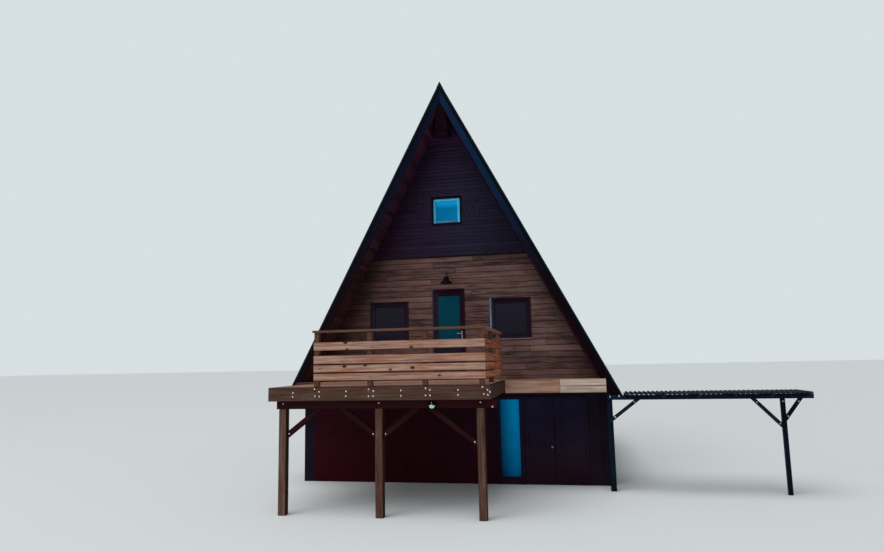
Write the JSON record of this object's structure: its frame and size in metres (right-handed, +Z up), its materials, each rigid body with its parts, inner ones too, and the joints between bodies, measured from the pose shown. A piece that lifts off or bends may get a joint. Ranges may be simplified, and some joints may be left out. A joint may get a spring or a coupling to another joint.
{
  "type": "a-frame cabin",
  "caption": "Steep a-frame cabin on a dark basement storey, with a timber terrace on posts, a railing, and a narrow braced canopy at its right corner.",
  "frame": {"origin": "centre of the cabin's plan, on the ground at the level of the basement doors", "axes": "+Z up, +Y from the front gable with the terrace to the back gable, +X to the right of someone who faces the front gable"},
  "size_m": [11.1833, 11.27, 9.2537],
  "materials": {
    "dark_render": "dark painted masonry, matte",
    "concrete": "floated concrete",
    "dark_frame": "dark stained timber, satin",
    "glazing": "clear double glazing with a cool tint",
    "door_board": "dark stained boards, satin",
    "steel": "satin",
    "floor_timber": "planed boards",
    "weathered_siding": "weathered brown boards, matte",
    "dark_siding": "dark stained boards, matte",
    "soffit_board": "reddish dark stain, matte",
    "roof_sheet": "dark blue-grey coated sheet, satin",
    "dark_board": "dark blue-grey paint, satin",
    "lamp_metal": "black enamel",
    "lamp_lens": "opal plastic",
    "terrace_board": "sawn softwood with a warm tint",
    "dark_timber": "dark stained sawn timber"
  },
  "bodies": {
    "cabin": {"basement_side_walls": "dark_render", "basement_back_wall": "dark_render", "basement_front_wall": "dark_render", "basement_lintel": "dark_render", "basement_floor": "concrete", "entrance_frame": "dark_frame", "window_frames": "dark_frame", "terrace_door_frame": "dark_frame", "terrace_door_leaf": "dark_frame", "sidelight_glass": "glazing", "window_glass": "glazing", "floors": "floor_timber", "front_wall_left": "weathered_siding", "front_wall_right": "weathered_siding", "front_wall_head": "weathered_siding", "back_wall": "weathered_siding", "window_sills": "weathered_siding", "front_gable_wall": "dark_siding", "back_gable_wall": "dark_siding", "gable_shutters": "dark_siding", "roof_left": "soffit_board", "roof_right": "soffit_board", "ridge_beam": "soffit_board", "roof_covers": "roof_sheet", "ridge_cap": "roof_sheet", "canopy_roof": "roof_sheet", "bargeboards": "dark_board", "wall_lamp": "lamp_metal", "round_lamp": "lamp_lens", "deck_boards": "terrace_board", "deck_edge": "terrace_board", "deck_joists": "terrace_board", "deck_posts": "terrace_board", "deck_braces": "terrace_board", "railing_posts": "terrace_board", "railing_boards": "terrace_board", "railing_cap": "terrace_board", "deck_girder": "dark_timber", "corner_post": "dark_timber", "canopy_beam": "dark_timber", "canopy_bearers": "dark_timber", "canopy_post": "dark_timber", "canopy_braces": "dark_timber"},
    "door_left": {"door_leaf_left": "door_board", "door_knob": "steel"},
    "door_right": {"door_leaf_right": "door_board"}
  },
  "joints": [
    {"name": "door_left_swing", "type": "hinge", "parent": "cabin", "child": "door_left", "pos_m": [1.6545, -3.634, 0.9], "axis": [0, 0, -1], "range_deg": [0, 100]},
    {"name": "door_right_swing", "type": "hinge", "parent": "cabin", "child": "door_right", "pos_m": [2.9795, -3.634, 0.9], "axis": [0, 0, 1], "range_deg": [0, 100]}
  ]
}
